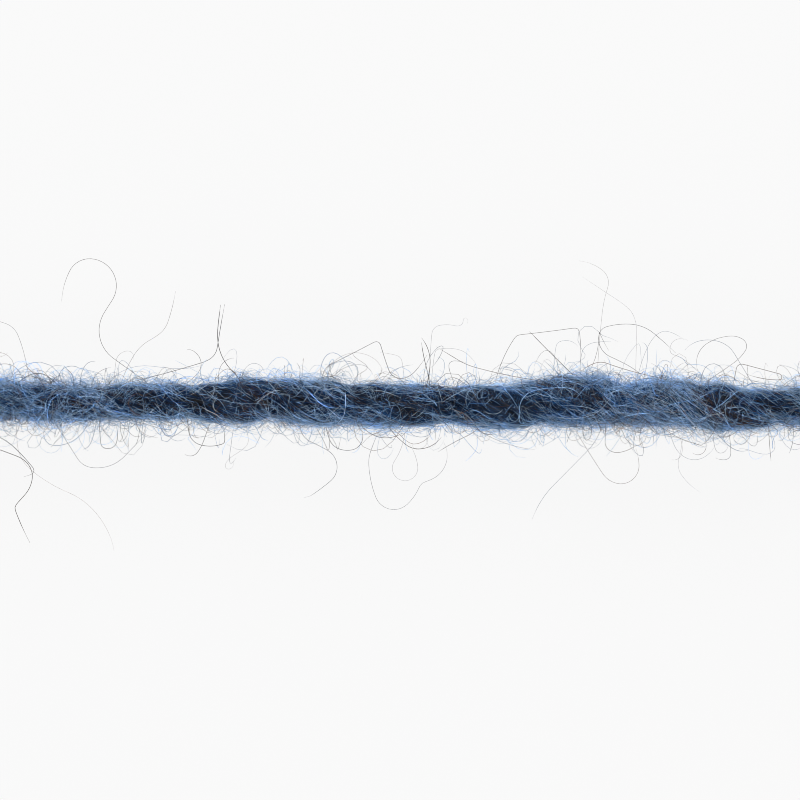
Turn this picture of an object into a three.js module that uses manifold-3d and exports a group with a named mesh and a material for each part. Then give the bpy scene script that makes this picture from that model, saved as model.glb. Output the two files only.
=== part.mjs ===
// Yak yarn: a short cut length of hairy two-ply yarn, lying straight along X.
// Millimetres, +Z up. The origin is on the surface that the yarn lies on, under its middle.
// The strand is one closed body with the lay of its two plies raised on it and a flat strip along
// its underside. The longest stray hairs are fibres of the same strand, fused to it at their roots.
import * as THREE from "three";
import { mergeVertices } from "three/addons/utils/BufferGeometryUtils.js";
import Module from "manifold-3d";

const wasm = await Module();
wasm.setup();

// The strand
const CUT_LENGTH = 50;
const PLY_PITCH = 8; // one turn of the two plies round each other, right handed
const CROWN_SWELL = 0.05; // how far a ply's crown stands out, as a share of the radius
const FURROW_DEPTH = 0.13; // how deep the furrow between the plies is, likewise
const FURROW_SPREAD = 20; // degrees from the furrow's middle to where it has mostly faded
const AXIS_RISE = 0.9; // height of the strand's middle, as a share of the radius
const FLAT_WIDTH = 0.9; // the strip on which the strand rests
const END_ROUNDING = 0.8; // the stretch over which each cut end draws in
const END_SHRINK = 0.2; // how much it draws in, as a share of the radius

// The stray hairs
const HAIR_THICKNESS = 0.07;
const HAIR_ROOT_DEPTH = 0.35; // how far a root reaches into the strand
const HAIR_STEP = 0.35;

// Facets. A step along the strand is one facet's turn, so the plies run along facet diagonals.
const SIDES = 20;
const STEP = PLY_PITCH / SIDES;
const FLAT_COLUMNS = 1; // facet corners on either side of the lowest one that lie on the surface

// The strand along its length: thickness, how far its middle strays from the X axis, and how far
// late the plies' turn runs there.
const SECTIONS = [
  { x: -25.0, thick: 1.9, aside: 0.15, late: 0.0 },
  { x: -19.0, thick: 1.95, aside: 0.16, late: 0.0 },
  { x: -16.2, thick: 1.8, aside: 0.0, late: 0.1 },
  { x: -14.4, thick: 1.7, aside: -0.02, late: -0.15 },
  { x: -13.3, thick: 1.8, aside: 0.08, late: -0.3 },
  { x: -10.6, thick: 1.75, aside: 0.05, late: -0.1 },
  { x: -8.8, thick: 2.05, aside: 0.0, late: 0.0 },
  { x: -7.6, thick: 2.5, aside: 0.1, late: 0.0 },
  { x: -6.2, thick: 2.15, aside: 0.2, late: -0.3 },
  { x: -4.3, thick: 2.35, aside: 0.02, late: -0.55 },
  { x: -3.3, thick: 2.45, aside: 0.0, late: -0.6 },
  { x: -2.2, thick: 2.1, aside: -0.06, late: -0.5 },
  { x: -0.5, thick: 2.3, aside: -0.12, late: -0.3 },
  { x: 1.9, thick: 2.05, aside: -0.1, late: 0.3 },
  { x: 4.8, thick: 2.3, aside: -0.19, late: 0.8 },
  { x: 7.4, thick: 2.55, aside: 0.07, late: 0.7 },
  { x: 9.0, thick: 2.65, aside: 0.12, late: 0.65 },
  { x: 10.9, thick: 2.15, aside: -0.05, late: 0.55 },
  { x: 12.4, thick: 2.3, aside: 0.02, late: 0.4 },
  { x: 15.2, thick: 2.55, aside: -0.2, late: 0.05 },
  { x: 16.9, thick: 2.0, aside: -0.28, late: -0.1 },
  { x: 19.0, thick: 1.9, aside: -0.15, late: 0.0 },
  { x: 25.0, thick: 1.95, aside: -0.1, late: 0.0 },
];

// The longest stray hairs. Each leaves the strand at x, at an angle round it (0 is the +Y flank,
// 90 the top, 180 the -Y flank), with a heading seen from above (0 is +X, 90 is +Y). It then
// follows arcs of [length, turn], and climbs by rise from root to tip.
const HAIRS = [
  // Off the +Y flank
  { x: -23.4, round: 20, heading: 60, rise: 0.6, arcs: [[1.4, 40], [1.6, -70], [1.0, -60]] },
  { x: -21.2, round: 12, heading: 118, rise: -0.3, arcs: [[1.5, -30], [1.8, 45]] },
  { x: -17.6, round: 12, heading: 98, rise: 0.5, arcs: [[1.4, 6], [0.9, 8], [0.8, 48], [1.4, 15]] },
  {
    x: -12.15, round: 10, heading: 122, rise: 1.2,
    arcs: [[0.5, 22], [1.4, 0], [2.4, -86], [0.7, -2], [2.7, 122], [1.2, 66], [1.5, 24]],
  },
  {
    x: -13.25, round: 20, heading: 72, rise: 1.8,
    arcs: [[1.5, -15], [1.0, -28], [0.5, 4], [0.8, 37], [1.5, 10]],
  },
  { x: -12.9, round: 5, heading: 13, rise: 0.9, arcs: [[3.6, 4], [0.4, 12], [0.7, 52], [2.1, -2]] },
  {
    x: -7.75, round: 12, heading: 138, rise: 1.4,
    arcs: [[0.5, -8], [1.5, -38], [0.5, -8], [1.1, -4]],
  },
  {
    x: -3.7, round: 20, heading: 88, rise: 0.4,
    arcs: [[0.9, -62], [2.3, 2], [0.3, -102], [1.3, 4], [0.9, 84], [0.6, 34], [1.0, 12]],
  },
  { x: 1.4, round: 30, heading: 95, rise: 0.6, arcs: [[1.0, 10], [1.1, -8]] },
  { x: 1.25, round: 30, heading: 75, rise: 0.7, arcs: [[1.0, 10], [1.4, 45]] },
  {
    x: 4.5, round: 20, heading: 78, rise: 0.8,
    arcs: [[2.4, -22], [0.3, -50], [2.6, 2], [0.3, -90], [1.5, -14]],
  },
  { x: 6.5, round: 30, heading: 172, rise: 1.6, arcs: [[1.6, -4], [1.4, -3], [0.9, -16], [1.2, 0]] },
  { x: 8.2, round: 15, heading: 137, rise: 0.5, arcs: [[2.9, -3]] },
  { x: 9.3, round: 50, heading: 88, rise: 2.4, arcs: [[3.2, -3], [1.3, -12], [0.9, 70], [1.2, 32]] },
  {
    x: 11.1, round: 65, heading: 88, rise: 2.0,
    arcs: [[3.0, 2], [0.7, 24], [0.5, 26], [0.7, 8], [1.9, -2]],
  },
  {
    x: 11.7, round: 20, heading: 128, rise: -0.2,
    arcs: [[1.2, 24], [0.9, 4], [1.3, -80], [0.5, -60], [1.2, -20], [1.2, -36], [1.4, -4]],
  },
  { x: 12.7, round: 20, heading: 168, rise: 0.3, arcs: [[1.4, -2], [1.6, -6], [0.6, 40], [0.9, 25]] },
  {
    x: 14.5, round: 20, heading: 32, rise: 0.5,
    arcs: [[1.6, 4], [0.8, 22], [0.6, 90], [0.6, 34], [1.2, 30], [1.5, 78]],
  },
  {
    x: 15.8, round: 25, heading: 80, rise: 0.6,
    arcs: [[0.8, 0], [0.4, -95], [1.8, 0], [0.4, -165], [1.6, -20]],
  },
  { x: 16.9, round: 20, heading: 122, rise: 0.8, arcs: [[2.0, 0], [0.9, 40], [1.0, 32], [0.8, 36]] },
  { x: 19.4, round: 25, heading: 110, rise: 0.7, arcs: [[1.6, -35], [1.6, -50]] },
  { x: 22.6, round: 15, heading: 80, rise: 0.3, arcs: [[1.3, 50], [1.4, -80], [1.2, -20]] },
  // Off the -Y flank
  { x: -22.2, round: 165, heading: -95, rise: 0.4, arcs: [[1.6, 40], [1.8, 50]] },
  {
    x: -20.4, round: 165, heading: -38, rise: -0.3,
    arcs: [[1.6, 12], [0.9, -18], [1.3, -8], [0.3, -100], [0.4, -20]],
  },
  {
    x: -20.6, round: 165, heading: -80, rise: -0.3,
    arcs: [[1.8, 62], [1.4, -4], [0.8, -40], [0.5, -34], [0.9, -36], [0.6, 0], [0.3, 62], [1.7, 8]],
  },
  {
    x: -18.2, round: 155, heading: -92, rise: 1.2,
    arcs: [[1.2, 8], [1.4, 44], [2.1, 18], [1.2, -20], [1.8, -26], [0.7, -12]],
  },
  {
    x: -16.45, round: 165, heading: -58, rise: -0.4,
    arcs: [[2.1, 0], [0.8, 50], [0.8, 24], [0.9, 30], [1.4, 0]],
  },
  {
    x: -14.3, round: 165, heading: -88, rise: 0.1,
    arcs: [[1.1, 4], [0.3, 70], [0.3, 30], [0.4, 60], [0.8, 30]],
  },
  {
    x: -10.1, round: 165, heading: -88, rise: 0.3,
    arcs: [[0.6, 10], [0.8, 62], [1.1, 36], [0.2, 70], [0.6, 10]],
  },
  {
    x: -4.75, round: 160, heading: -90, rise: 0.2,
    arcs: [[1.0, 66], [0.9, -6], [1.1, -70], [0.6, -40], [1.1, -6], [0.4, -34]],
  },
  {
    x: -3.5, round: 165, heading: -80, rise: 0.2,
    arcs: [[0.6, 12], [0.6, 46], [0.7, 36], [0.6, 56], [0.6, 50]],
  },
  { x: -1.85, round: 160, heading: -50, rise: 0.2, arcs: [[0.7, 22], [0.7, 30], [0.8, 30]] },
  {
    x: -0.95, round: 165, heading: -115, rise: 0.3,
    arcs: [[1.2, 6], [0.6, 22], [1.6, 18], [1.8, 112], [1.0, 24], [0.4, -50], [0.4, 10], [2.0, 93]],
  },
  { x: -0.5, round: 160, heading: -52, rise: 0.2, arcs: [[1.1, 14], [0.6, 36], [1.3, 56]] },
  {
    x: 0.25, round: 160, heading: -92, rise: 0.2,
    arcs: [[1.7, -32], [0.4, 40], [1.9, 180], [1.2, 30]],
  },
  { x: 3.4, round: 150, heading: -35, rise: 0.6, arcs: [[1.6, 14], [1.6, 16]] },
  { x: 3.7, round: 160, heading: -135, rise: -0.2, arcs: [[0.6, -20], [1.6, 8]] },
  {
    x: 8.25, round: 165, heading: -60, rise: -0.2,
    arcs: [[2.6, 4], [0.9, 48], [0.9, 60], [0.6, 40], [0.8, 18]],
  },
  { x: 9.6, round: 145, heading: -105, rise: 0.8, arcs: [[1.6, -30], [2.2, 0], [1.9, 25]] },
  {
    x: 12.75, round: 165, heading: -80, rise: -0.4,
    arcs: [[1.0, 15], [0.8, 40], [0.8, 50], [0.8, 35]],
  },
  { x: 13.45, round: 150, heading: -93, rise: 0.5, arcs: [[1.6, -12], [0.8, 50], [1.2, 25]] },
  { x: 17.5, round: 155, heading: -88, rise: 0.2, arcs: [[1.6, 3]] },
  { x: 20.3, round: 165, heading: -60, rise: -0.2, arcs: [[1.4, 20], [1.6, 70]] },
  { x: 23.2, round: 150, heading: -110, rise: 0.5, arcs: [[1.3, -40], [1.5, 60]] },
  // Off the top
  { x: -19.6, round: 95, heading: 140, rise: 2.2, arcs: [[1.6, -60], [1.4, 30]] },
  { x: -9.2, round: 80, heading: 30, rise: 2.4, arcs: [[1.4, 60], [1.2, -90]] },
  { x: 2.4, round: 100, heading: -10, rise: 2.6, arcs: [[1.5, -50], [1.0, 80]] },
  { x: 15.8, round: 85, heading: 200, rise: 2.2, arcs: [[1.4, 50], [1.2, -40]] },
];

// The share of its radius that the strand keeps at x, where its cut ends draw in.
function endShare(x) {
  const fromEnd = Math.min((CUT_LENGTH / 2 - Math.abs(x)) / END_ROUNDING, 1);
  return 1 - END_SHRINK * (1 - Math.sqrt(fromEnd * (2 - fromEnd)));
}

// The strand's measures at x, eased between the sections on either side.
function sectionAt(x) {
  const next = SECTIONS.slice(1, -1).filter((s) => s.x < x).length + 1;
  const [a, b] = [SECTIONS[next - 1], SECTIONS[next]];
  const t = THREE.MathUtils.smoothstep(x, a.x, b.x);
  const mix = (name) => THREE.MathUtils.lerp(a[name], b[name], t);
  return { radius: (mix("thick") / 2) * endShare(x), aside: mix("aside"), late: mix("late") };
}

// A point on the strand's surface at x, where angle runs from +Y over the top.
function surfacePoint(x, angle) {
  const { radius, aside, late } = sectionAt(x);
  const crown = (2 * Math.PI * (x - late)) / PLY_PITCH;
  const swell = CROWN_SWELL * Math.cos(2 * (angle - crown));
  const fromFurrow = Math.acos(Math.abs(Math.sin(angle - crown)));
  const fade = fromFurrow / THREE.MathUtils.degToRad(FURROW_SPREAD);
  const furrow = FURROW_DEPTH * Math.exp(-fade * fade);
  const r = radius * (1 + swell - furrow);
  return new THREE.Vector3(x, aside + r * Math.cos(angle), AXIS_RISE * radius + r * Math.sin(angle));
}

// The same point on the facet corner with this number, counted from the lowest one. The lowest
// corners lie on the surface below, evenly across the flat strip.
function cornerPoint(x, corner) {
  const turned = corner > SIDES / 2 ? corner - SIDES : corner;
  if (Math.abs(turned) <= FLAT_COLUMNS) {
    const across = (turned / FLAT_COLUMNS) * (FLAT_WIDTH / 2) * endShare(x);
    return new THREE.Vector3(x, sectionAt(x).aside + across, 0);
  }
  return surfacePoint(x, -Math.PI / 2 + (2 * Math.PI * corner) / SIDES);
}

// The closed strand: rings of facet corners, and a fan on each cut end.
function strandGeometry() {
  const rings = Math.round(CUT_LENGTH / STEP);
  const points = [];
  for (let i = 0; i <= rings; i++) {
    for (let j = 0; j < SIDES; j++) {
      points.push(cornerPoint(-CUT_LENGTH / 2 + i * STEP, j));
    }
  }
  const index = [];
  for (let i = 0; i < rings; i++) {
    for (let j = 0; j < SIDES; j++) {
      const here = i * SIDES + j;
      const beside = i * SIDES + ((j + 1) % SIDES);
      index.push(here, beside, beside + SIDES, here, beside + SIDES, here + SIDES);
    }
  }
  for (const ring of [0, rings]) {
    const first = ring * SIDES;
    const x = points[first].x;
    const { radius, aside } = sectionAt(x);
    const middle = points.push(new THREE.Vector3(x, aside, AXIS_RISE * radius)) - 1;
    for (let j = 0; j < SIDES; j++) {
      const [a, b] = [first + j, first + ((j + 1) % SIDES)];
      index.push(...(ring === 0 ? [middle, b, a] : [middle, a, b]));
    }
  }
  return new THREE.BufferGeometry().setFromPoints(points).setIndex(index);
}

// A hair's centreline, from its root inside the strand to its tip.
function hairLine({ x, round, heading, rise, arcs }) {
  const angle = THREE.MathUtils.degToRad(round);
  const out = new THREE.Vector3(0, Math.cos(angle), Math.sin(angle));
  const foot = surfacePoint(x, angle);
  const points = [foot.clone().addScaledVector(out, -HAIR_ROOT_DEPTH), foot];
  const whole = arcs.reduce((sum, [length]) => sum + length, 0);
  const at = foot.clone();
  let way = THREE.MathUtils.degToRad(heading);
  for (const [length, turn] of arcs) {
    const steps = Math.max(1, Math.round(length / HAIR_STEP));
    for (let i = 0; i < steps; i++) {
      way += THREE.MathUtils.degToRad(turn) / steps / 2;
      at.x += (Math.cos(way) * length) / steps;
      at.y += (Math.sin(way) * length) / steps;
      at.z += (rise * length) / steps / whole;
      way += THREE.MathUtils.degToRad(turn) / steps / 2;
      points.push(at.clone());
    }
  }
  return points;
}

// A hair as a three-sided closed tube.
function hairGeometry(hair) {
  const points = hairLine(hair);
  const section = new THREE.Shape();
  for (let i = 0; i < 3; i++) {
    const angle = (2 * Math.PI * i) / 3;
    const [u, v] = [Math.cos(angle), Math.sin(angle)].map((n) => (n * HAIR_THICKNESS) / 2);
    i === 0 ? section.moveTo(u, v) : section.lineTo(u, v);
  }
  return new THREE.ExtrudeGeometry(section, {
    steps: points.length - 1,
    extrudePath: new THREE.CatmullRomCurve3(points),
    bevelEnabled: false,
  });
}

// A closed geometry as a solid that can be joined.
function solidOf(geometry) {
  const plain = geometry.clone();
  plain.deleteAttribute("normal");
  plain.deleteAttribute("uv");
  const merged = mergeVertices(plain, 1e-4);
  return new wasm.Manifold(
    new wasm.Mesh({
      numProp: 3,
      vertProperties: merged.attributes.position.array,
      triVerts: new Uint32Array(merged.index.array),
    }),
  );
}

// A solid's surface as a geometry that can be drawn.
function geometryOf(solid) {
  const { vertProperties, triVerts } = solid.getMesh();
  const geometry = new THREE.BufferGeometry();
  geometry.setAttribute("position", new THREE.BufferAttribute(vertProperties, 3));
  geometry.setIndex(new THREE.BufferAttribute(triVerts, 1));
  geometry.computeVertexNormals();
  return geometry;
}

const strand = HAIRS.reduce(
  (joined, hair) => joined.add(solidOf(hairGeometry(hair))),
  solidOf(strandGeometry()),
);

const yarn = new THREE.Mesh(
  geometryOf(strand),
  new THREE.MeshStandardMaterial({ color: 0x40587a, roughness: 0.95, metalness: 0 }),
);
yarn.name = "yarn_strand";

const part = new THREE.Group();
part.add(yarn);
export default part;
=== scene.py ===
"""Yak yarn: the looks of a short cut length of hairy two-ply yarn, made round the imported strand.

Sizes here are in millimetres until a mesh is made, and Blender works in metres. The strand lies
along X on z = 0. Its sections and its longest stray hairs are the ones that the solids have.
Every fibre is a closed three-sided tube, and thousands of them are joined into each piece.
"""

import math

import bpy
import numpy as np
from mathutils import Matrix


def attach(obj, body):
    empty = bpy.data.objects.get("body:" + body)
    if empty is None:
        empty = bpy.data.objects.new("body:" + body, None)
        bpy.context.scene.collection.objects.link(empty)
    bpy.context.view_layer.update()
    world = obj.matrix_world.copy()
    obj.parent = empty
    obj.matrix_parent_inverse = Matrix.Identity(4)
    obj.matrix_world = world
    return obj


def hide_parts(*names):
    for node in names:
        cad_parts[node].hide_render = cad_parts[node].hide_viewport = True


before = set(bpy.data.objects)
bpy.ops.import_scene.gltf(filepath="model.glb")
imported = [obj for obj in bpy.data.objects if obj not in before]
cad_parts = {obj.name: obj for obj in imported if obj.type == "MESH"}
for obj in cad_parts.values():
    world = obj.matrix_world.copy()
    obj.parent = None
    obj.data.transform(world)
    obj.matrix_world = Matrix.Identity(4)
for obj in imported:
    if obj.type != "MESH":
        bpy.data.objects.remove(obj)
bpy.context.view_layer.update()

MM = 0.001
MICRON = 0.001  # in millimetres, as hairs are measured
CUT_LENGTH = 50.0
PLY_PITCH = 8.0
AXIS_RISE = 0.9  # height of the strand's middle, as a share of its radius
HULL = 0.80  # radius of the densely packed down, as a share of the strand's
UNDERSIDE = 0.5  # a fibre lower than this lies under the strand
UNDER_SHARE = 0.35  # and this share of those are made
ARC_PART = 0.12  # about how long the straight parts of a stray hair are
BEND_WORTH = 0.3  # a bend of one radian takes as many points as this length does
ROOT_DEPTH = 0.35  # how far a stray hair's root reaches into the strand
FLOOR_GAP = 0.004  # kept between the floor and a fibre that would lie on it
CORE_ROUNDING = 0.6  # how far from a cut end the core begins to draw in
CORE_END = 0.75  # the share of its radius that it keeps at the cut
PLACE_STEPS = 2001  # how finely the strand is cut up to find where fibres start

# What the picture takes in.
PICTURE_WIDTH = 38.0
PICTURE_MIDDLE = 0.1425  # how far off the X axis, toward +Y
FOCUS_HEIGHT = 1.2  # the width is taken at this height over the floor

# The strand along its length: x, thickness, how far its middle strays from the X axis, how far
# late the plies' turn runs there, and how thick the pale fuzz lies on it.
SECTIONS = np.array(
    [
        (-25.0, 1.90, 0.15, 0.00, 1.50),
        (-19.0, 1.95, 0.16, 0.00, 1.75),
        (-16.2, 1.80, 0.00, 0.10, 1.65),
        (-14.4, 1.70, -0.02, -0.15, 1.60),
        (-13.3, 1.80, 0.08, -0.30, 1.05),
        (-10.6, 1.75, 0.05, -0.10, 0.80),
        (-8.8, 2.05, 0.00, 0.00, 0.75),
        (-7.6, 2.50, 0.10, 0.00, 0.60),
        (-6.2, 2.15, 0.20, -0.30, 0.85),
        (-4.3, 2.35, 0.02, -0.55, 1.05),
        (-3.3, 2.45, 0.00, -0.60, 1.05),
        (-2.2, 2.10, -0.06, -0.50, 0.90),
        (-0.5, 2.30, -0.12, -0.30, 0.70),
        (1.9, 2.05, -0.10, 0.30, 0.80),
        (4.8, 2.30, -0.19, 0.80, 0.70),
        (7.4, 2.55, 0.07, 0.70, 0.90),
        (9.0, 2.65, 0.12, 0.65, 1.35),
        (10.9, 2.15, -0.05, 0.55, 1.80),
        (12.4, 2.30, 0.02, 0.40, 1.80),
        (15.2, 2.55, -0.20, 0.05, 0.85),
        (16.9, 2.00, -0.28, -0.10, 0.60),
        (19.0, 1.90, -0.15, 0.00, 1.10),
        (25.0, 1.95, -0.10, 0.00, 1.20),
    ]
)

# A ply's section is an oval. These are shares of the strand's radius.
PLY_OUT = 0.36  # from the strand's middle to the ply's
PLY_HALF_DEPTH = 0.385  # along the line through both plies
PLY_HALF_WIDTH = 0.70  # across it
FURROW_FLOOR = 0.36

# Where the strand is darker, paler, browner or bluer than usual, seen from above: x, y, reach along
# the lay, reach across it, how much paler and how much browner.
# The darker patches follow the slanted furrows between the plies and are partly painted shade
# there, partly darker fibres.
PATCHES = np.array(
    [
        (-17.0, 0.05, 0.9, 0.25, -0.35, 0.30),
        (-15.5, -0.15, 0.7, 0.35, -0.40, 0.35),
        (-12.4, 0.10, 0.9, 0.45, -0.90, 0.00),
        (-11.3, 0.10, 0.6, 0.25, -0.30, 0.20),
        (-10.0, 0.10, 0.9, 0.40, -0.55, -0.10),
        (-8.8, -0.45, 1.1, 0.35, -0.60, 0.10),
        (-8.4, 0.35, 0.6, 0.35, -0.40, -0.10),
        (-7.1, 0.70, 0.9, 0.30, -0.50, 0.00),
        (-6.1, -0.15, 1.0, 0.35, -0.60, 0.25),
        (-5.1, 0.25, 0.9, 0.35, -0.45, -0.20),
        (-3.6, -0.45, 0.8, 0.40, 0.15, 0.00),
        (-1.9, 0.20, 0.7, 0.55, -0.60, 0.00),
        (-0.5, 0.55, 0.8, 0.30, -0.50, 0.10),
        (-0.7, -0.45, 0.6, 0.30, 0.20, -0.10),
        (0.5, -0.45, 0.8, 0.40, -0.60, 0.05),
        (2.1, 0.05, 1.2, 0.40, -0.45, -0.10),
        (4.4, -0.05, 1.2, 0.50, -0.45, -0.25),
        (6.3, -0.05, 0.8, 0.55, -0.40, -0.30),
        (7.4, -0.10, 0.8, 0.30, -0.35, -0.30),
        (9.0, 0.60, 0.7, 0.45, -0.30, 0.00),
        (10.1, -0.05, 0.9, 0.30, -0.10, 0.35),
        (12.6, 0.25, 1.9, 0.90, 0.55, -0.10),
        (15.4, -0.35, 1.1, 0.75, -0.35, 0.65),
        (17.9, -0.10, 1.2, 0.35, -0.55, -0.10),
    ]
)
PALER, BROWNER = 4, 5  # columns of the table
PATCH_SLANT = -0.35  # how far a patch drops toward -Y for each millimetre along X

# How pale a fibre has to be, painted light and shade included, for each next dye after the darkest.
DYE_STEPS = [-0.3, 0.32, 0.56, 0.75]
DYE_SCATTER = 0.3  # how unevenly single fibres took it

# What makes a fibre paler: painted rim light at the strand's edge, thick fuzz, painted light on a
# ply's crown with painted shade toward its furrow, and painted light by a fibre's own rise.
EDGE_PAINTED_LIGHT = 1.8
FUZZ_PALER = 0.2
CROWN_LIGHT_FURROW_SHADE = 0.3
RISE_PAINTED_LIGHT = 1.4
USUALLY_DARKER = 0.12  # taken off every fibre in a ply

# The share of fibres that are brown, how far it goes up and down along the strand, and what the
# brownest patch adds to it.
BROWN_SHARE = 0.11
BROWN_MOTTLE = 0.11
BROWN_PATCH = 0.7

# How fibres lie in a ply. Turns are radians round the ply's middle.
FIBRE_LAY = -0.35  # turn for each millimetre along X
FIBRE_PLACE = 0.95  # typical turn from the ply's crown
FIBRE_FRAY = (-0.3, 0.4)  # how far past the cut a fibre may reach: least and most
FIBRE_RIPPLE = 0.03  # how uneven its height is
FIBRE_LEAST_RISE = 0.3  # the share of its rise that it keeps at its tips

# Headings of the surface fuzz, in radians from the X axis.
FUZZ_HEADING = 0.33
FUZZ_NEAR, FUZZ_FAR = 0.25, 0.8  # how far most fibres stray from it, and how far some do
FUZZ_SHARE = 0.72  # the share that is made on a spot of the usual tone
FUZZ_BY_TONE = 1.6  # how much that share grows as a spot gets paler

# A curl over the strand, in shares of the strand's radius and of the curl's own length.
CURL_HEIGHT = 0.95
CURL_TUCK = 0.3  # how far its tips go down
CURL_TUCK_PART = 12  # in the first and last twelfth

# Fibre tips at a cut end.
TIP_ROOT = 0.35  # how far inside the cut they start
TIP_DEEPEST = 0.36  # how far under the ply's surface, at most
TIP_REACH = 0.18  # typical reach past the cut
TIP_LEAST = 0.05  # and the least that any of them has, which is added to it

# A fibre narrows over its first and last eighth, down to this share of its thickness.
TAPER_PART = 8
TAPER_END = 0.4

# The map for baking leaves this share of each fibre's square bare on every side.
MAP_MARGIN = 0.15
MAP_CAP = 0.1  # and a cap's tip stands out this far

# Stray hairs of this thickness are grey, and ones thicker by so much are dark brown.
GREY_HAIR = 0.012
BROWN_AFTER = 0.02

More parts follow.
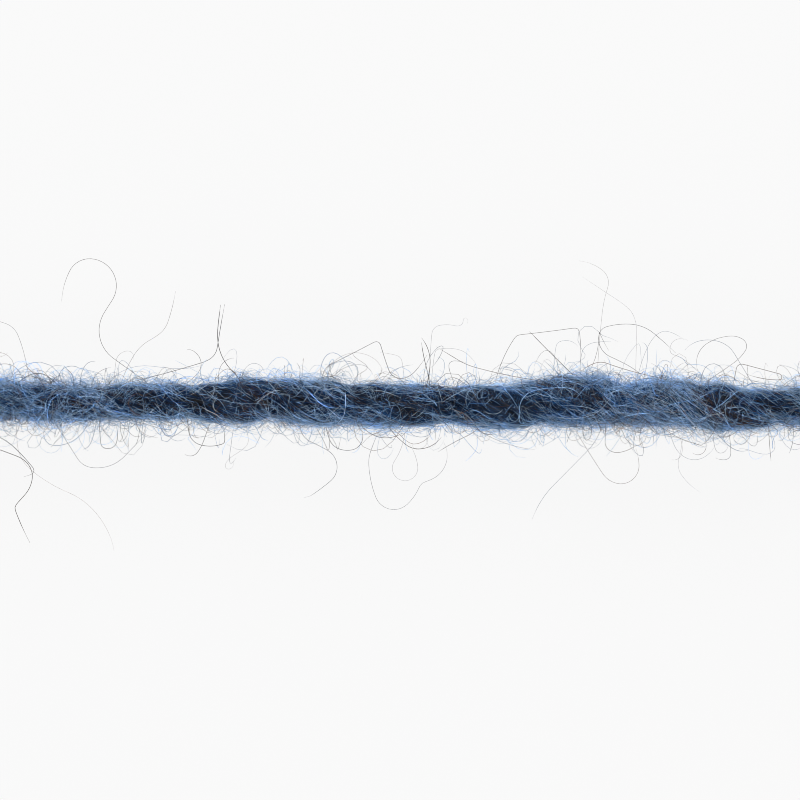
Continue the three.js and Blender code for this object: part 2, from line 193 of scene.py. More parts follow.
# The longest stray hairs: x of the root, angle round the strand (0 is the +Y flank, 90 the top),
# heading seen from above, rise from root to tip, thickness in microns, and arcs of (length, turn).
HAIRS = [
    # Off the +Y flank
    (-23.4, 20, 60, 0.6, 26, [(1.4, 40), (1.6, -70), (1.0, -60)]),
    (-21.2, 12, 118, -0.3, 24, [(1.5, -30), (1.8, 45)]),
    (-17.6, 12, 98, 0.5, 20, [(1.4, 6), (0.9, 8), (0.8, 48), (1.4, 15)]),
    (-12.15, 10, 122, 1.2, 26,
     [(0.5, 22), (1.4, 0), (2.4, -86), (0.7, -2), (2.7, 122), (1.2, 66), (1.5, 24)]),
    (-13.25, 20, 72, 1.8, 18, [(1.5, -15), (1.0, -28), (0.5, 4), (0.8, 37), (1.5, 10)]),
    (-12.9, 5, 13, 0.9, 30, [(3.6, 4), (0.4, 12), (0.7, 52), (2.1, -2)]),
    (-7.75, 12, 138, 1.4, 36, [(0.5, -8), (1.5, -38), (0.5, -8), (1.1, -4)]),
    (-3.7, 20, 88, 0.4, 28,
     [(0.9, -62), (2.3, 2), (0.3, -102), (1.3, 4), (0.9, 84), (0.6, 34), (1.0, 12)]),
    (1.4, 30, 95, 0.6, 30, [(1.0, 10), (1.1, -8)]),
    (1.25, 30, 75, 0.7, 30, [(1.0, 10), (1.4, 45)]),
    (4.5, 20, 78, 0.8, 24, [(2.4, -22), (0.3, -50), (2.6, 2), (0.3, -90), (1.5, -14)]),
    (6.5, 30, 172, 1.6, 26, [(1.6, -4), (1.4, -3), (0.9, -16), (1.2, 0)]),
    (8.2, 15, 137, 0.5, 30, [(2.9, -3)]),
    (9.3, 50, 88, 2.4, 14, [(3.2, -3), (1.3, -12), (0.9, 70), (1.2, 32)]),
    (11.1, 65, 88, 2.0, 14, [(3.0, 2), (0.7, 24), (0.5, 26), (0.7, 8), (1.9, -2)]),
    (11.7, 20, 128, -0.2, 24,
     [(1.2, 24), (0.9, 4), (1.3, -80), (0.5, -60), (1.2, -20), (1.2, -36), (1.4, -4)]),
    (12.7, 20, 168, 0.3, 30, [(1.4, -2), (1.6, -6), (0.6, 40), (0.9, 25)]),
    (14.5, 20, 32, 0.5, 22, [(1.6, 4), (0.8, 22), (0.6, 90), (0.6, 34), (1.2, 30), (1.5, 78)]),
    (15.8, 25, 80, 0.6, 28, [(0.8, 0), (0.4, -95), (1.8, 0), (0.4, -165), (1.6, -20)]),
    (16.9, 20, 122, 0.8, 22, [(2.0, 0), (0.9, 40), (1.0, 32), (0.8, 36)]),
    (19.4, 25, 110, 0.7, 26, [(1.6, -35), (1.6, -50)]),
    (22.6, 15, 80, 0.3, 22, [(1.3, 50), (1.4, -80), (1.2, -20)]),
    # Off the -Y flank
    (-22.2, 165, -95, 0.4, 22, [(1.6, 40), (1.8, 50)]),
    (-20.4, 165, -38, -0.3, 28, [(1.6, 12), (0.9, -18), (1.3, -8), (0.3, -100), (0.4, -20)]),
    (-20.6, 165, -80, -0.3, 32,
     [(1.8, 62), (1.4, -4), (0.8, -40), (0.5, -34), (0.9, -36), (0.6, 0), (0.3, 62), (1.7, 8)]),
    (-18.2, 155, -92, 1.2, 14,
     [(1.2, 8), (1.4, 44), (2.1, 18), (1.2, -20), (1.8, -26), (0.7, -12)]),
    (-16.45, 165, -58, -0.4, 22, [(2.1, 0), (0.8, 50), (0.8, 24), (0.9, 30), (1.4, 0)]),
    (-14.3, 165, -88, 0.1, 26, [(1.1, 4), (0.3, 70), (0.3, 30), (0.4, 60), (0.8, 30)]),
    (-10.1, 165, -88, 0.3, 30, [(0.6, 10), (0.8, 62), (1.1, 36), (0.2, 70), (0.6, 10)]),
    (-4.75, 160, -90, 0.2, 22,
     [(1.0, 66), (0.9, -6), (1.1, -70), (0.6, -40), (1.1, -6), (0.4, -34)]),
    (-3.5, 165, -80, 0.2, 26, [(0.6, 12), (0.6, 46), (0.7, 36), (0.6, 56), (0.6, 50)]),
    (-1.85, 160, -50, 0.2, 30, [(0.7, 22), (0.7, 30), (0.8, 30)]),
    (-0.95, 165, -115, 0.3, 20,
     [(1.2, 6), (0.6, 22), (1.6, 18), (1.8, 112), (1.0, 24), (0.4, -50), (0.4, 10), (2.0, 93)]),
    (-0.5, 160, -52, 0.2, 30, [(1.1, 14), (0.6, 36), (1.3, 56)]),
    (0.25, 160, -92, 0.2, 15, [(1.7, -32), (0.4, 40), (1.9, 180), (1.2, 30)]),
    (3.4, 150, -35, 0.6, 18, [(1.6, 14), (1.6, 16)]),
    (3.7, 160, -135, -0.2, 26, [(0.6, -20), (1.6, 8)]),
    (8.25, 165, -60, -0.2, 20, [(2.6, 4), (0.9, 48), (0.9, 60), (0.6, 40), (0.8, 18)]),
    (9.6, 145, -105, 0.8, 18, [(1.6, -30), (2.2, 0), (1.9, 25)]),
    (12.75, 165, -80, -0.4, 16, [(1.0, 15), (0.8, 40), (0.8, 50), (0.8, 35)]),
    (13.45, 150, -93, 0.5, 13, [(1.6, -12), (0.8, 50), (1.2, 25)]),
    (17.5, 155, -88, 0.2, 24, [(1.6, 3)]),
    (20.3, 165, -60, -0.2, 24, [(1.4, 20), (1.6, 70)]),
    (23.2, 150, -110, 0.5, 20, [(1.3, -40), (1.5, 60)]),
    # Off the top
    (-19.6, 95, 140, 2.2, 26, [(1.6, -60), (1.4, 30)]),
    (-9.2, 80, 30, 2.4, 24, [(1.4, 60), (1.2, -90)]),
    (2.4, 100, -10, 2.6, 28, [(1.5, -50), (1.0, 80)]),
    (15.8, 85, 200, 2.2, 26, [(1.4, 50), (1.2, -40)]),
]

# Shorter ones that the solids leave out, with the same columns.
STRAYS = [
    (-16.3, 12, 132, 0.3, 26, [(0.6, 15), (0.6, 40), (0.5, 25), (0.9, 18), (0.8, -5)]),
    (-15.5, 12, 90, 0.2, 28, [(0.5, 20), (0.4, 60)]),
    (-14.7, 12, 75, 0.2, 20, [(0.5, -20), (0.5, -30), (0.4, -20)]),
    (-13.6, 12, 88, 0.3, 12, [(1.1, -8), (0.35, -40), (0.4, -35), (0.3, -60), (0.3, -60)]),
    (-16.4, 30, 140, 0.3, 24, [(0.7, 20), (0.8, 25), (1.5, 30)]),
    (-3.75, 15, 65, 0.4, 17,
     [(0.8, -20), (0.6, -15), (0.5, -20), (0.5, -20), (0.55, -20), (0.5, -25), (0.4, -15)]),
    (-3.3, 25, 52, 0.3, 18, [(0.7, -20), (0.5, -18), (0.5, -20), (0.4, -40), (0.4, -25)]),
    (-0.9, 15, 60, 0.3, 14, [(0.9, -35), (0.9, -20)]),
    (0.2, 12, 92, 0.3, 12, [(1.0, 8), (0.4, 65), (0.8, 10)]),
    (1.5, 15, 88, 0.4, 16, [(1.5, -8), (0.25, -70), (0.85, -20), (0.6, -30), (0.6, -20)]),
    (7.3, 15, 92, 0.4, 15, [(1.4, -12), (0.3, -60), (0.35, -25), (0.6, -50)]),
    (8.55, 15, 94, 0.4, 18, [(1.0, -16), (0.5, -50), (0.4, -22), (0.7, -6)]),
    (1.4, 20, 90, 0.5, 14,
     [(2.4, -5), (0.6, -75), (0.8, -25), (0.3, 70), (0.2, 40), (0.2, -120), (0.3, -110)]),
    (11.2, 20, 76, 0.6, 16,
     [(0.8, -2), (0.9, -8), (0.5, -12), (0.4, -20), (0.5, -50), (0.8, -25)]),
    (14.6, 20, 132, 0.5, 15,
     [(1.4, 10), (0.7, 22), (0.3, -70), (0.3, -32), (0.5, -60), (0.4, -30)]),
    (-13.4, 165, -50, 0.1, 16, [(0.5, 0), (0.5, 10), (0.3, 50), (0.4, 60), (0.35, 35)]),
    (-7.3, 165, -80, 0.2, 12,
     [(0.6, 0), (0.5, -60), (0.6, -10), (0.6, 30), (0.45, 150), (0.4, 80)]),
    (9.75, 165, -92, 0.1, 24, [(0.7, 0), (0.5, 60), (0.45, 40), (0.6, 20), (0.4, 0)]),
    (10.1, 165, -60, 0.1, 20, [(0.4, 5), (0.5, 70), (0.6, 25)]),
    (14.4, 165, -70, 0.2, 20, [(0.7, -20), (0.5, -70), (0.4, -60)]),
    (14.9, 165, -100, 0.1, 18, [(0.8, 30), (0.4, 90), (0.4, 60)]),
    (15.6, 165, -80, 0.2, 22, [(1.0, -10), (0.4, -80), (0.5, -40)]),
    (16.1, 165, -60, 0.1, 18, [(0.9, 20), (0.3, 110), (0.5, 40)]),
    (16.7, 165, -95, 0.2, 20, [(0.7, -40), (0.5, -90), (0.3, -30)]),
]

# Single hairs that lie over the strand: x and y of the root, heading seen from above, thickness in
# microns, whether it is brown, and arcs as above.
CURLS = [
    (-16.0, 0.06, 130, 22, False,
     [(0.35, -50), (0.4, -60), (0.65, -25), (0.4, -65), (0.4, -60), (0.4, -20)]),
    (-13.9, 0.0, 35, 26, False, [(0.5, 5), (0.5, 15), (0.35, 15), (0.4, 15)]),
    (-12.0, 0.14, 30, 20, False, [(0.6, -18), (0.6, 10), (0.6, 12), (0.45, -20), (1.1, -15)]),
    (-9.7, 0.38, 10, 20, False, [(0.6, -20), (0.6, -30), (0.45, -25), (0.4, 5), (0.5, 20)]),
    (-9.4, -0.7, 30, 26, True,
     [(0.6, -30), (0.7, -5), (0.7, 40), (1.4, 0), (0.8, -20), (0.75, -15)]),
    (-6.3, 1.05, -45, 26, False, [(0.7, -10), (0.1, -150), (0.5, 10)]),
    (-4.3, 0.45, -40, 22, False, [(0.35, 10), (0.4, 40), (0.4, 40), (0.25, 30)]),
    (-2.6, 0.62, -85, 24, False, [(0.5, -5), (0.6, -10), (0.35, -30), (0.5, -10)]),
    (-2.6, -0.45, 180, 22, False, [(0.6, 5), (0.5, 12), (0.5, 8)]),
    (-2.5, -0.33, 35, 24, False, [(0.4, -35), (0.85, 2), (1.3, 8)]),
    (-2.6, 0.86, -65, 20, False, [(0.35, 20), (0.45, 45), (0.4, 40), (0.25, 20)]),
    (-0.8, 0.26, 80, 24, False, [(0.3, -10), (0.5, -40)]),
    (-0.95, -0.05, 20, 22, True, [(0.6, -20), (0.5, -10), (0.5, -40), (0.35, -60)]),
    (5.7, -1.0, 100, 28, False,
     [(0.8, -14), (0.5, -34), (0.5, -32), (0.55, -14), (1.0, -6), (0.5, -30), (0.5, -30)]),
    (6.9, 0.95, -75, 22, False, [(0.45, 20), (0.5, 35), (0.7, 10)]),
    (8.15, 0.05, 45, 28, False,
     [(0.45, 5), (0.5, 0), (0.35, -50), (0.4, -25), (0.65, -20), (0.6, 25), (0.5, 35), (0.5, 5)]),
    (8.6, -0.17, -60, 22, False, [(0.5, 30), (1.0, 30), (0.9, 25), (0.8, 20)]),
    (9.5, -0.24, 0, 26, True, [(1.2, 10), (0.7, 25), (0.65, 0), (0.35, -10)]),
    (10.4, -0.18, 30, 24, False,
     [(0.5, -20), (0.6, -50), (0.6, 30), (0.6, 50), (0.5, -25), (0.8, -10), (0.6, 30), (0.9, -30)]),
    (14.1, -0.05, 0, 26, False, [(0.6, -25), (0.35, -30), (0.5, -15)]),
    (15.6, -1.1, 15, 28, True, [(0.6, -10), (0.7, -10), (0.4, -30), (0.4, -40)]),
]

SEED = 7
rng = np.random.default_rng(SEED)


def section(x):
    """At x: the strand's radius, the place of its middle, its first ply's crown and the fuzz."""
    x = np.asarray(x, float)
    at = np.clip(np.searchsorted(SECTIONS[:, 0], x), 1, len(SECTIONS) - 1)
    low, high = SECTIONS[at - 1], SECTIONS[at]
    t = np.clip((x - low[..., 0]) / (high[..., 0] - low[..., 0]), 0, 1)
    t = (t * t * (3 - 2 * t))[..., None]
    _, thick, aside, late, fuzz = np.moveaxis(low + (high - low) * t, -1, 0)
    radius = thick / 2
    crown = 2 * math.pi * (x - late) / PLY_PITCH
    return radius, aside, AXIS_RISE * radius, crown, fuzz


def settled(above):
    """A height over the strand's middle, drawn down a little where it is below the middle."""
    return np.where(above < 0, above * AXIS_RISE / HULL, above)


def ply_point(x, ply, turn, lift):
    """A point lift above ply 0 or 1, at this turn round the ply's middle from its crown."""
    radius, y, z, crown, _ = section(x)
    crown = crown + math.pi * ply
    out = PLY_OUT * radius + (PLY_HALF_DEPTH * radius + lift) * np.cos(turn)
    side = (PLY_HALF_WIDTH * radius + lift) * np.sin(turn)
    y = y + out * np.cos(crown) - side * np.sin(crown)
    z = z + settled(out * np.sin(crown) + side * np.cos(crown))
    return np.stack([x + 0 * y, y, z], -1)


def unit(v):
    return v / np.maximum(np.linalg.norm(v, axis=-1, keepdims=True), 1e-12)


def waves(count, steps, reach):
    """Smooth random curves of steps values each, with a typical size of reach."""
    s = np.linspace(0, 1, steps)[None, :, None]
    phase = rng.uniform(0, 2 * math.pi, (count, 1, 3))
    pace = rng.uniform(2, 12, (count, 1, 3))
    size = rng.normal(0, 1, (count, 1, 3)) / pace**0.6
    return reach * (size * np.sin(pace * s + phase)).sum(-1)


def places(count, margin):
    """Places along the strand, more of them where the pale fuzz lies thick."""
    x = np.linspace(-CUT_LENGTH / 2 + margin, CUT_LENGTH / 2 - margin, PLACE_STEPS)
    share = np.cumsum(section(x)[4])
    return np.interp(rng.uniform(0, share[-1], count), share, x)


def streaks(x, place, ply):
    """How far a spot on a ply is from the usual colour: locks of down took the dye unevenly."""
    lock = np.sin(1.3 * x + 0.9 * place + 2.1 * ply + 1.7 * np.sin(0.37 * x))
    streak = np.sin(8 * (place + 0.6 * x) + 3 * np.sin(0.9 * x + ply))
    return 0.2 * lock * np.sin(0.83 * x + 2.3 * place + ply) + 0.18 * streak


def patched(points, column):
    """What the patches add up to at the middle of each fibre, in this column of their table."""
    middle = points[:, points.shape[1] // 2]
    off_x = middle[:, :1] - PATCHES[:, 0]
    off_y = middle[:, 1:2] - PATCHES[:, 1] - PATCH_SLANT * off_x
    near = np.exp(-((off_x / PATCHES[:, 2]) ** 2) - (off_y / PATCHES[:, 3]) ** 2)
    return near @ PATCHES[:, column]


def tone(points):
    """How much paler each fibre is than usual, by where its middle lies seen from above: by the
    patches, by painted rim light that grows toward the strand's edge, and by thick fuzz.
    """
    middle = points[:, points.shape[1] // 2]
    radius, y, _, _, fuzz = section(middle[:, 0])
    edge = np.minimum(np.abs(middle[:, 1] - y) / radius, 1)
    # The edge term is painted rim light: paler toward the strand's edge, darker over its middle.
    return patched(points, PALER) + EDGE_PAINTED_LIGHT * edge**3 + FUZZ_PALER * (fuzz - 1)


def well_seen(points):
    """Which fibres to keep: all that lie above, and a share of those underneath."""
    return (points[:, :, 2].mean(1) > UNDERSIDE) | (rng.random(len(points)) < UNDER_SHARE)


def ply_fibres(count, steps, lengths, lift, spread, curl):
    """Fibres laid into the plies, with how pale each is. Each rises a little out of its ply."""
    tries = 2 * count
    length = rng.uniform(*lengths, (tries, 1))
    middle = rng.uniform(-CUT_LENGTH / 2, CUT_LENGTH / 2, (tries, 1))
    x = middle + length * np.linspace(-0.5, 0.5, steps)
    fray = CUT_LENGTH / 2 + rng.uniform(*FIBRE_FRAY, (tries, 1))
    x = np.clip(x, -fray, fray)
    ply = rng.integers(0, 2, (tries, 1))
    lay = rng.normal(FIBRE_LAY, spread, (tries, 1))
    place = rng.normal(0, FIBRE_PLACE, (tries, 1))
    turn = place + lay * (x - middle) + waves(tries, steps, curl)
    arch = 1 - np.linspace(-1, 1, steps) ** 2
    rise = rng.exponential(lift, (tries, 1))
    above = rise * (FIBRE_LEAST_RISE + arch) + waves(tries, steps, FIBRE_RIPPLE)
    points = ply_point(x, ply, turn, above)
    # Painted light and shade: paler on a ply's crown, darker toward its furrow, and paler the
    # higher a fibre rises.
    paleness = CROWN_LIGHT_FURROW_SHADE * np.cos(place) + RISE_PAINTED_LIGHT * rise
    paleness = paleness + streaks(middle, place, ply) - USUALLY_DARKER
    kept = np.flatnonzero(well_seen(points))[:count]
    return points[kept], paleness[kept, 0] + tone(points[kept])


def wandering(
    x, angle, lift, heading, climb, length, steps, curl, stir, flatness, twist, keep, hold
):
    """Fibres that start over the strand and bend on, drawn to a height over its dense hull.

    The larger flatness is, the more they bend along the surface and not off it. The larger stir
    is, the less even their bends are.
    """
    count = len(x)
    radius, y, z, _, _ = section(x)
    out = np.stack([0 * x, np.cos(angle), np.sin(angle)], -1)
    around = np.stack([0 * x, -np.sin(angle), np.cos(angle)], -1)
    along = np.array([1.0, 0, 0])
    flat = np.cos(heading)[:, None] * along + np.sin(heading)[:, None] * around
    way = np.cos(climb)[:, None] * flat + np.sin(climb)[:, None] * out
    at = np.stack([x, y, z], -1) + out * (HULL * radius + lift)[:, None]
    tumble = rng.normal(0, 1, (count, 3))
    level = rng.choice([-1, 1], (count, 1)) * flatness * out
    bend = unit(np.cross(way, tumble + level)) / curl[:, None]
    ds = (length / (steps - 1))[:, None]
    points = np.empty((count, steps, 3))
    for i in range(steps):
        points[:, i] = at
        radius, y, z, _, _ = section(at[:, 0])
        beside = at - np.stack([at[:, 0], y, z], -1)
        height = np.linalg.norm(beside, axis=1) - HULL * radius
        pull = -(hold * (height - keep))[:, None] * unit(beside)
        spun = twist[:, None] * ds
        bend = bend * np.cos(spun) + np.cross(way, bend) * np.sin(spun)
        bend = bend + rng.normal(0, stir, (count, 3)) / curl[:, None]
        bend = bend - (bend * way).sum(-1, keepdims=True) * way
        way = unit(way + (bend + pull) * ds)
        at = at + way * ds
    return points


def strayed(count):
    """Headings off the strand's own: most fibres keep near the lay and some stray from it."""
    return rng.normal(FUZZ_HEADING, rng.choice([FUZZ_NEAR, FUZZ_NEAR, FUZZ_FAR], count))


def surface_fuzz(count, steps):
    """Fine short fibres that lie on the plies and curl along them, fewer where these are dark."""
    tries = 2 * count
    x = places(tries, 0.4)
    points = wandering(
        x=x,
        angle=section(x)[3] + rng.normal(0, 0.8, tries) + math.pi * rng.integers(0, 2, tries),
        lift=rng.uniform(-0.1, 0.1, tries),
        heading=strayed(tries) + math.pi * rng.integers(0, 2, tries),
        climb=rng.normal(0, 0.25, tries),
        length=rng.uniform(0.9, 3.2, tries),
        steps=steps,
        curl=rng.uniform(0.6, 3.0, tries),
        stir=0.1,
        flatness=3,
        twist=rng.normal(0, 0.7, tries),
        keep=rng.exponential(0.13, tries),
        hold=rng.uniform(2, 7, tries),
    )
    shown = well_seen(points)
    shown = shown & (rng.random(tries) < FUZZ_SHARE + FUZZ_BY_TONE * tone(points))
    return points[np.flatnonzero(shown)[:count]]


def rim_down(count, steps):
    """The softest, shortest down, which stands off all round and makes the strand's edge pale: its
    mostly pale tints are partly painted rim light.
    """
    return wandering(
        x=places(count, 0.3),
        angle=rng.uniform(-0.5, math.pi + 0.5, count),
        lift=rng.uniform(-0.2, 0.0, count),
        heading=rng.uniform(-math.pi, math.pi, count),
        climb=rng.normal(0.8, 0.4, count),
        length=rng.uniform(0.3, 0.95, count),
        steps=steps,
        curl=rng.uniform(0.2, 1.0, count),
        stir=0.3,
        flatness=0,
        twist=rng.normal(0, 2.0, count),
        keep=rng.exponential(0.10, count),
        hold=rng.uniform(1, 5, count),
    )


def halo(count, steps):
    """Fibres that stand off the strand in loops and curls, with their roots in it."""
    lines = wandering(
        x=places(count, 0.6),
        angle=rng.uniform(-0.45, math.pi + 0.45, count),
        lift=rng.uniform(-0.12, 0.0, count),
        heading=rng.uniform(-math.pi, math.pi, count),
        climb=rng.uniform(0.2, 1.3, count),
        length=1.0 + rng.exponential(1.6, count),
        steps=3 * steps,
        curl=rng.uniform(0.35, 2.0, count),
        stir=0.17,
        flatness=0,
        twist=rng.normal(0, 1.0, count),
        keep=rng.exponential(0.25, count),
        hold=rng.uniform(0.4, 2.5, count),
    )
    return np.array([spaced(line, steps, BEND_WORTH) for line in lines])


def spaced(line, steps, bend_worth):
    """The line with this many points: even along it, but closer together where it bends."""
    leg = np.diff(line, axis=0)
    cost = np.linalg.norm(leg, axis=1)
    bend = bend_worth * np.linalg.norm(np.diff(unit(leg), axis=0), axis=1)
    cost[1:] += bend / 2
    cost[:-1] += bend / 2
    gone = np.concatenate([[0], np.cumsum(cost)])
    even = np.linspace(0, gone[-1], steps)
    return np.stack([np.interp(even, gone, line[:, k]) for k in range(3)], -1)


def traced(foot, heading, rise, arcs):
    """A line from its foot through its arcs, which rises evenly up to its tip."""
    points = [foot]
    whole = sum(length for length, _ in arcs)
    way = math.radians(heading)
    for length, turn in arcs:
        parts = max(1, round(length / ARC_PART))
        for _ in range(parts):
            way += math.radians(turn) / parts / 2
            step = np.array([math.cos(way), math.sin(way), rise / whole]) * length / parts
            points.append(points[-1] + step)
            way += math.radians(turn) / parts / 2
    return points


def hair_lines(steps):
    """Centrelines of the stray hairs, the longest as the solids have them."""
    lines = []
    for x, around, heading, rise, _, arcs in HAIRS + STRAYS:
        radius, y, z, _, _ = section(x)
        angle = math.radians(around)
        out = np.array([0, math.cos(angle), math.sin(angle)])
        foot = np.array([x, y, z]) + out * radius
        points = [foot - out * ROOT_DEPTH] + traced(foot, heading, rise, arcs)
        lines.append(spaced(np.array(points), steps, 0))
    return np.array(lines)


def curl_lines(steps):
    """Centrelines of the single hairs that lie over the strand."""
    lines = []
    for x, y, heading, _, _, arcs in CURLS:
        points = traced(np.array([x, y, 0.0]), heading, 0, arcs)
        lines.append(spaced(np.array(points), steps, 0))
    return draped(np.array(lines))


def draped(lines):
    """The lines laid over the upper side of the strand, with both tips tucked into it."""
    radius, y, z, _, _ = section(lines[..., 0])
    s = np.linspace(0, 1, lines.shape[1])
    tucked = np.clip(1 - CURL_TUCK_PART * np.minimum(s, 1 - s), 0, 1)
    over = (CURL_HEIGHT - CURL_TUCK * tucked) * radius
    lines[..., 2] = z + np.sqrt(np.maximum(over**2 - (lines[..., 1] - y) ** 2, 0))
    return lines


def cut_tips(count):
    """Tips of the strand's own fibres, which stick out of both cut ends along the lay."""
    end = rng.choice([-1.0, 1.0], (count, 1))
    ply = rng.integers(0, 2, (count, 1))
    turn = rng.uniform(0, 2 * math.pi, (count, 1))
    depth = TIP_DEEPEST * (1 - np.sqrt(rng.random((count, 1))))
    past = rng.exponential(TIP_REACH, (count, 1)) + TIP_LEAST
    splay = rng.normal(0.04, 0.09, (count, 1))
    s = np.linspace(0, 1, 3)
    x = end * (CUT_LENGTH / 2 - TIP_ROOT + (TIP_ROOT + past) * s)
    return ply_point(x, ply, turn, splay * s**2 - depth)


def tapered(count, steps, thickness):
    """Radii along each fibre, drawn in at both tips."""
    s = np.linspace(0, 1, steps)
    ends = np.clip(np.minimum(s, 1 - s) * TAPER_PART, TAPER_END, 1)
    return np.reshape(thickness, (-1, 1)) / 2 * ends * np.ones((count, 1))


def tube_mesh(name, points, radius, tint):
    """One mesh of closed three-sided tubes, from arrays with one row for each fibre."""
    n, steps, _ = points.shape
    points = points.copy()
    points[..., 2] = np.maximum(points[..., 2], radius + FLOOR_GAP)
    tangent = unit(np.gradient(points, axis=1))
    side = np.cross(tangent[:, 0], rng.normal(0, 1, (n, 3)))
    ring = np.empty((n, steps, 3, 3))
    for i in range(steps):
        way = tangent[:, i]
        side = unit(side - (side * way).sum(-1, keepdims=True) * way)
        other = np.cross(way, side)
        for corner in range(3):
            angle = 2 * math.pi * corner / 3
            out = math.cos(angle) * side + math.sin(angle) * other
            ring[:, i, corner] = points[:, i] + out * radius[:, i, None]
    strand, step, corner = np.meshgrid(
        np.arange(n), np.arange(steps - 1), np.arange(3), indexing="ij"
    )
    here = (strand * steps + step) * 3
    beside = (corner + 1) % 3
    quads = np.stack([here + corner, here + beside, here + 3 + beside, here + 3 + corner], -1)
    start = np.arange(n) * steps * 3
    end = start + (steps - 1) * 3
    caps = np.concatenate(
        [np.stack([start + 2, start + 1, start], -1), np.stack([end, end + 1, end + 2], -1)]
    )
    obj = mesh_object(name, ring.reshape(-1, 3), quads.reshape(-1, 4), caps)
    lay_out(obj.data, n, steps)
    colour = obj.data.color_attributes.new("tint", "FLOAT_COLOR", "POINT")
    rows = np.concatenate([np.repeat(tint, steps * 3, axis=0), np.ones((n * steps * 3, 1))], axis=1)
    colour.data.foreach_set("color", rows.astype(np.float32).ravel())
    return obj


def lay_out(mesh, count, steps):
    """A map for baking, on which each fibre has a small square of its own with a bare margin."""
    across = math.ceil(math.sqrt(count))
    strand, step, side, corner = np.meshgrid(
        np.arange(count), np.arange(steps - 1), np.arange(3), np.arange(4), indexing="ij"
    )
    along = (step + np.array([0, 0, 1, 1])[corner]) / (steps - 1)
    around = (side + np.array([0, 1, 1, 0])[corner]) / 3
    owner, tip = np.meshgrid(np.arange(count), np.arange(3), indexing="ij")
    beyond = np.array([0, -MAP_CAP, 0])[tip]
    level = np.array([0, 0.5, 1])[tip]
    owner = np.concatenate([strand.ravel(), owner.ravel(), owner.ravel()])
    along = np.concatenate([along.ravel(), beyond.ravel(), 1 - beyond.ravel()])
    around = np.concatenate([around.ravel(), level.ravel(), level.ravel()])
    used = 1 - 2 * MAP_MARGIN
    u = (owner % across + MAP_MARGIN + used * along) / across
    v = (owner // across + MAP_MARGIN + used * around) / across
    layer = mesh.uv_layers.new(name="OFBake")
    layer.uv.foreach_set("vector", np.stack([u, v], -1).astype(np.float32).ravel())


def mesh_object(name, verts, quads, others):
    """A smooth mesh of four-cornered faces and of other faces that all have one corner count."""
    mesh = bpy.data.meshes.new(name)
    mesh.vertices.add(len(verts))
    mesh.vertices.foreach_set("co", (verts * MM).astype(np.float32).ravel())
    loops = np.concatenate([quads.ravel(), others.ravel()]).astype(np.int32)
    mesh.loops.add(len(loops))
    mesh.loops.foreach_set("vertex_index", loops)
    starts = np.concatenate(
        [np.arange(len(quads)) * 4, quads.size + np.arange(len(others)) * others.shape[1]]
    )
    mesh.polygons.add(len(starts))
    mesh.polygons.foreach_set("loop_start", starts.astype(np.int32))
    mesh.update(calc_edges=True)
    mesh.polygons.foreach_set("use_smooth", np.ones(len(starts), bool))
    obj = bpy.data.objects.new(name, mesh)
    bpy.context.collection.objects.link(obj)
    return obj


def strand_core():
    """The body of the strand under its fibres: both plies' ovals as one closed skin."""
    sides, rings = 48, 320
    x = np.linspace(-CUT_LENGTH / 2, CUT_LENGTH / 2, rings)[:, None]
    angle = np.linspace(0, 2 * math.pi, sides, endpoint=False)[None, :]
    radius, y, z, crown, _ = section(x)
    deep, wide, out = PLY_HALF_DEPTH * radius, PLY_HALF_WIDTH * radius, PLY_OUT * radius
    reach = FURROW_FLOOR * radius
    for ply in (0, math.pi):
        # Where a line from the strand's middle leaves this ply's oval
        u, v = np.cos(angle - crown - ply), np.sin(angle - crown - ply)
        square = (u / deep) ** 2 + (v / wide) ** 2
        half = u * out / deep**2
        inside = half**2 - square * ((out / deep) ** 2 - 1)
        reach = np.maximum(reach, (half + np.sqrt(np.maximum(inside, 0))) / square)
    from_end = np.clip((CUT_LENGTH / 2 - np.abs(x)) / CORE_ROUNDING, 0, 1)
    reach = reach * (CORE_END + (1 - CORE_END) * np.sqrt(from_end * (2 - from_end)))
    up = np.maximum(z + settled(reach * np.sin(angle)), 0.0)
    points = np.stack([x + 0 * reach, y + reach * np.cos(angle), up], -1)
    i, j = np.meshgrid(np.arange(rings - 1), np.arange(sides), indexing="ij")
    here, beside = i * sides + j, i * sides + (j + 1) % sides
    quads = np.stack([here, beside, beside + sides, here + sides], -1).reshape(-1, 4)
    ends = np.stack([np.arange(sides)[::-1], np.arange((rings - 1) * sides, rings * sides)])
    return mesh_object("strand_core", points.reshape(-1, 3), quads, ends)


def linear(screen):
    """A colour written as on a screen, as the linear numbers that shaders take."""
    c = np.array([int(screen[i : i + 2], 16) for i in (0, 2, 4)]) / 255
    return np.where(c <= 0.04045, c / 12.92, ((c + 0.055) / 1.055) ** 2.4)


BLACK_BROWN = linear("383b40")
NAVY = linear("2a4567")
DEEP_BLUE = linear("2d5484")
MID_BLUE = linear("5284b4")
PALE_BLUE = linear("adcae4")
BROWN = linear("6a5b52")
DARK_BROWN = linear("453a35")
GREY = linear("8a8c92")
SLATE = linear("7289a3")


def dyed_and_painted_light(paleness):
    """Colours from darkest to palest down, by paleness with some scatter. Where the paleness holds
    painted light and shade, so do the colours.
    """
    dye = np.array([BLACK_BROWN, NAVY, DEEP_BLUE, MID_BLUE, PALE_BLUE])
    scatter = paleness + rng.normal(0, DYE_SCATTER, len(paleness))
    colours = dye[np.digitize(scatter, DYE_STEPS)]
    return shaken(colours)


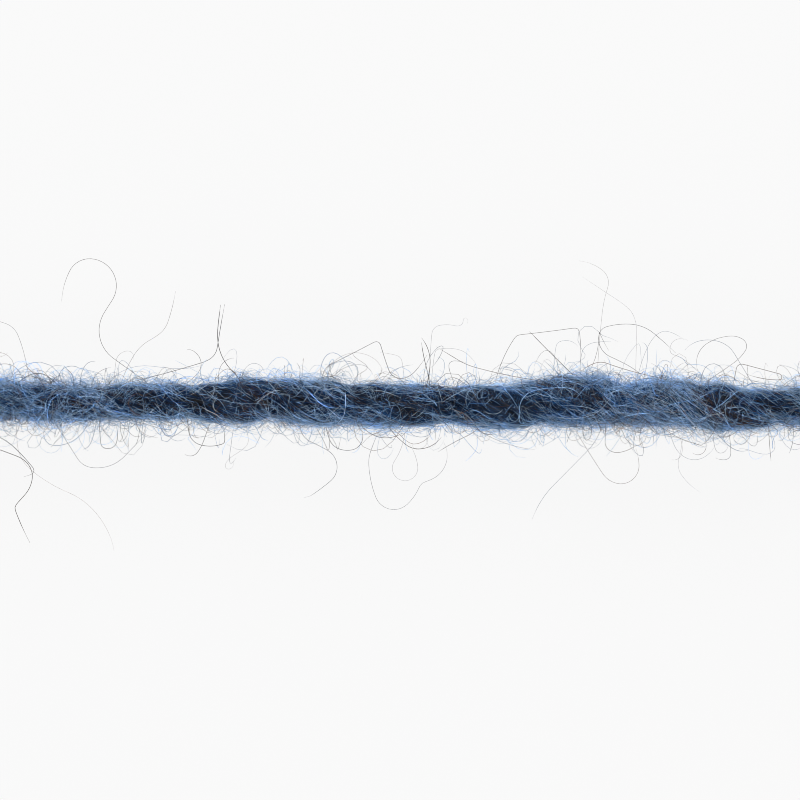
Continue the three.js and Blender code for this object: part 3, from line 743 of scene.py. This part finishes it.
def browned(colours, points):
    """The colours, with a brown fibre here and there, more of them in the browner patches."""
    x, y, _ = points[:, points.shape[1] // 2].T
    mottle = np.sin(1.7 * x + 2.5 * y) * np.sin(0.6 * x - 4 * y)
    share = BROWN_SHARE + BROWN_MOTTLE * mottle + BROWN_PATCH * patched(points, BROWNER)
    brown = rng.random(len(points)) < share
    colours[brown] = shaken(np.tile(BROWN, (brown.sum(), 1)))
    return colours


def shaken(colours):
    """The colours, each a little lighter or darker and a little redder or bluer."""
    light = rng.normal(0, 0.2, (len(colours), 1))
    red = rng.normal(0, 0.13, (len(colours), 1))
    return colours * np.exp(light + red * np.array([1, 0.1, -0.6]))


def tints(count, *shares):
    """Colours drawn from (colour, share) pairs."""
    colours = np.array([c for c, _ in shares])
    weights = np.array([w for _, w in shares], float)
    return shaken(colours[rng.choice(len(shares), count, p=weights / weights.sum())])


def fibre_material(name, through_share, roughness):
    """Fine fibre: each has its own tint, lets some light through and is uneven along itself."""
    mat = bpy.data.materials.new(name)
    mat.use_nodes = True
    tree = mat.node_tree
    tree.nodes.clear()
    out = tree.nodes.new("ShaderNodeOutputMaterial")
    surface = tree.nodes.new("ShaderNodeBsdfPrincipled")
    through = tree.nodes.new("ShaderNodeBsdfTranslucent")
    mix = tree.nodes.new("ShaderNodeMixShader")
    tint = tree.nodes.new("ShaderNodeAttribute")
    tint.attribute_name = "tint"
    where = tree.nodes.new("ShaderNodeTexCoord")
    noise = tree.nodes.new("ShaderNodeTexNoise")
    noise.inputs["Scale"].default_value = 1400
    noise.inputs["Detail"].default_value = 3
    shade = tree.nodes.new("ShaderNodeMapRange")
    shade.inputs["To Min"].default_value = 0.7
    shade.inputs["To Max"].default_value = 1.3
    times = tree.nodes.new("ShaderNodeVectorMath")
    times.operation = "SCALE"
    tree.links.new(where.outputs["Object"], noise.inputs["Vector"])
    tree.links.new(noise.outputs["Fac"], shade.inputs["Value"])
    tree.links.new(tint.outputs["Color"], times.inputs[0])
    tree.links.new(shade.outputs["Result"], times.inputs["Scale"])
    tree.links.new(times.outputs[0], surface.inputs["Base Color"])
    tree.links.new(times.outputs[0], through.inputs["Color"])
    surface.inputs["Roughness"].default_value = roughness
    surface.inputs["Specular IOR Level"].default_value = 0.2
    mix.inputs["Fac"].default_value = through_share
    tree.links.new(surface.outputs[0], mix.inputs[1])
    tree.links.new(through.outputs[0], mix.inputs[2])
    tree.links.new(mix.outputs[0], out.inputs["Surface"])
    return mat


def core_material():
    """Dark packed down under the loose fibres, streaked along the lay."""
    mat = bpy.data.materials.new("packed_down")
    mat.use_nodes = True
    tree = mat.node_tree
    surface = tree.nodes["Principled BSDF"]
    where = tree.nodes.new("ShaderNodeTexCoord")
    squeeze = tree.nodes.new("ShaderNodeMapping")
    squeeze.inputs["Rotation"].default_value = (0, 0, 0.3)
    squeeze.inputs["Scale"].default_value = (900, 9000, 9000)
    noise = tree.nodes.new("ShaderNodeTexNoise")
    noise.inputs["Scale"].default_value = 1
    noise.inputs["Detail"].default_value = 4
    ramp = tree.nodes.new("ShaderNodeValToRGB")
    ramp.color_ramp.elements[0].position = 0.35
    ramp.color_ramp.elements[0].color = (*BLACK_BROWN, 1)
    ramp.color_ramp.elements[1].position = 0.7
    ramp.color_ramp.elements[1].color = (*NAVY, 1)
    tree.links.new(where.outputs["Object"], squeeze.inputs["Vector"])
    tree.links.new(squeeze.outputs[0], noise.inputs["Vector"])
    tree.links.new(noise.outputs["Fac"], ramp.inputs["Fac"])
    tree.links.new(ramp.outputs["Color"], surface.inputs["Base Color"])
    surface.inputs["Roughness"].default_value = 0.95
    surface.inputs["Specular IOR Level"].default_value = 0.1
    return mat


def make_camera():
    """Straight above the strand, as the photo was taken."""
    data = bpy.data.cameras.new("camera")
    data.lens = 200
    data.sensor_width = 36
    data.clip_start, data.clip_end = 0.001, 10
    cam = bpy.data.objects.new("camera", data)
    bpy.context.collection.objects.link(cam)
    height = PICTURE_WIDTH * data.lens / data.sensor_width + FOCUS_HEIGHT
    cam.location = (0, PICTURE_MIDDLE * MM, height * MM)
    bpy.context.scene.camera = cam


def make_floor():
    """A plain near-white sheet that glows as if lit from below."""
    half = 1500
    corners = np.array([(-half, -half, 0), (half, -half, 0), (half, half, 0), (-half, half, 0)])
    floor = mesh_object("floor", corners, np.array([[0, 1, 2, 3]]), np.zeros((0, 3), int))
    mat = bpy.data.materials.new("pale_floor")
    mat.use_nodes = True
    surface = mat.node_tree.nodes["Principled BSDF"]
    surface.inputs["Base Color"].default_value = (0.05, 0.05, 0.05, 1)
    surface.inputs["Roughness"].default_value = 1
    surface.inputs["Specular IOR Level"].default_value = 0
    surface.inputs["Emission Color"].default_value = (1, 1, 1, 1)
    surface.inputs["Emission Strength"].default_value = 0.89
    floor.data.materials.append(mat)


def make_light():
    """Soft light from all round, a weak lamp above and a stronger one low on each side."""
    world = bpy.data.worlds.new("studio")
    world.use_nodes = True
    world.node_tree.nodes["Background"].inputs["Color"].default_value = (1, 1, 1, 1)
    world.node_tree.nodes["Background"].inputs["Strength"].default_value = 0.3
    bpy.context.scene.world = world
    for name, place, size, power in (
        ("lamp_above", (0.05, 0.12, 0.4), 0.2, 0.38),
        ("lamp_behind", (-0.1, 0.4, 0.12), 0.2, 3.2),
        ("lamp_before", (0.1, -0.4, 0.12), 0.2, 2.2),
    ):
        data = bpy.data.lights.new(name, "AREA")
        data.size = size
        data.energy = power
        light = bpy.data.objects.new(name, data)
        light.location = place
        light.rotation_mode = "QUATERNION"
        light.rotation_quaternion = (-light.location).to_track_quat("-Z", "Y")
        bpy.context.collection.objects.link(light)
    bpy.context.scene.view_settings.view_transform = "Standard"
    bpy.context.scene.cycles.filter_width = 1.0


make_camera()
make_floor()
make_light()

core = strand_core()
core.data.materials.append(core_material())
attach(core, "root")
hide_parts("yarn_strand")

fine = fibre_material("fine_fibre", 0.6, 0.6)
coarse = fibre_material("guard_hair", 0.1, 0.45)


def strew(name, points, thickness, tint, mat):
    """Make one piece of fibres that belongs to the strand."""
    count, steps, _ = points.shape
    obj = tube_mesh(name, points, tapered(count, steps, thickness), tint)
    obj.data.materials.append(mat)
    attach(obj, "root")


for number in (1, 2):
    lines, paleness = ply_fibres(
        7800, steps=4, lengths=(1.0, 2.2), lift=0.04, spread=0.2, curl=0.06
    )
    thickness = rng.uniform(0.012, 0.021, len(lines))
    tint = browned(dyed_and_painted_light(paleness), lines)
    strew(f"combed_fibres_{number}", lines, thickness, tint, fine)
lines, paleness = ply_fibres(
    4600, steps=6, lengths=(0.8, 2.2), lift=0.13, spread=0.3, curl=0.12
)
thickness = rng.uniform(0.012, 0.020, len(lines))
strew("loose_fibres", lines, thickness, browned(dyed_and_painted_light(paleness), lines), fine)
for number in (1, 2):
    lines = surface_fuzz(1800, steps=12)
    thickness = 0.010 + np.minimum(rng.exponential(0.004, len(lines)), 0.012)
    # The fuzz's colour takes the painted rim light of tone() as well.
    tint = browned(dyed_and_painted_light(0.8 + 0.5 * tone(lines)), lines)
    strew(f"surface_fuzz_{number}", lines, thickness, tint, fine)
count = 6300
strew(
    "rim_down",
    rim_down(count, steps=4),
    rng.uniform(0.012, 0.018, count),
    # Mostly pale blue: partly painted rim light, standing in for light through the edge's fine
    # down.
    tints(count, (PALE_BLUE, 60), (MID_BLUE, 20), (SLATE, 8), (DARK_BROWN, 12)),
    fine,
)
count = 960
strew(
    "halo",
    halo(count, steps=15),
    rng.uniform(0.010, 0.023, count),
    tints(count, (PALE_BLUE, 30), (SLATE, 30), (GREY, 18), (BROWN, 22)),
    fine,
)
hair_thickness = np.array([hair[4] for hair in HAIRS + STRAYS]) * MICRON
coarseness = np.clip((hair_thickness - GREY_HAIR) / BROWN_AFTER, 0, 1)[:, None]
strew(
    "guard_hairs",
    hair_lines(steps=60),
    hair_thickness,
    shaken(GREY * (1 - coarseness) + DARK_BROWN * coarseness),
    coarse,
)
curl_tint = np.array([BROWN if curl[4] else PALE_BLUE for curl in CURLS])
strew(
    "curls",
    curl_lines(steps=36),
    np.array([curl[3] for curl in CURLS]) * MICRON,
    shaken(curl_tint),
    fine,
)
lines = cut_tips(800)
thickness = rng.uniform(0.014, 0.024, len(lines))
tint = browned(dyed_and_painted_light(rng.normal(0.45, 0.3, len(lines))), lines)
strew("cut_tips", lines, thickness, tint, fine)
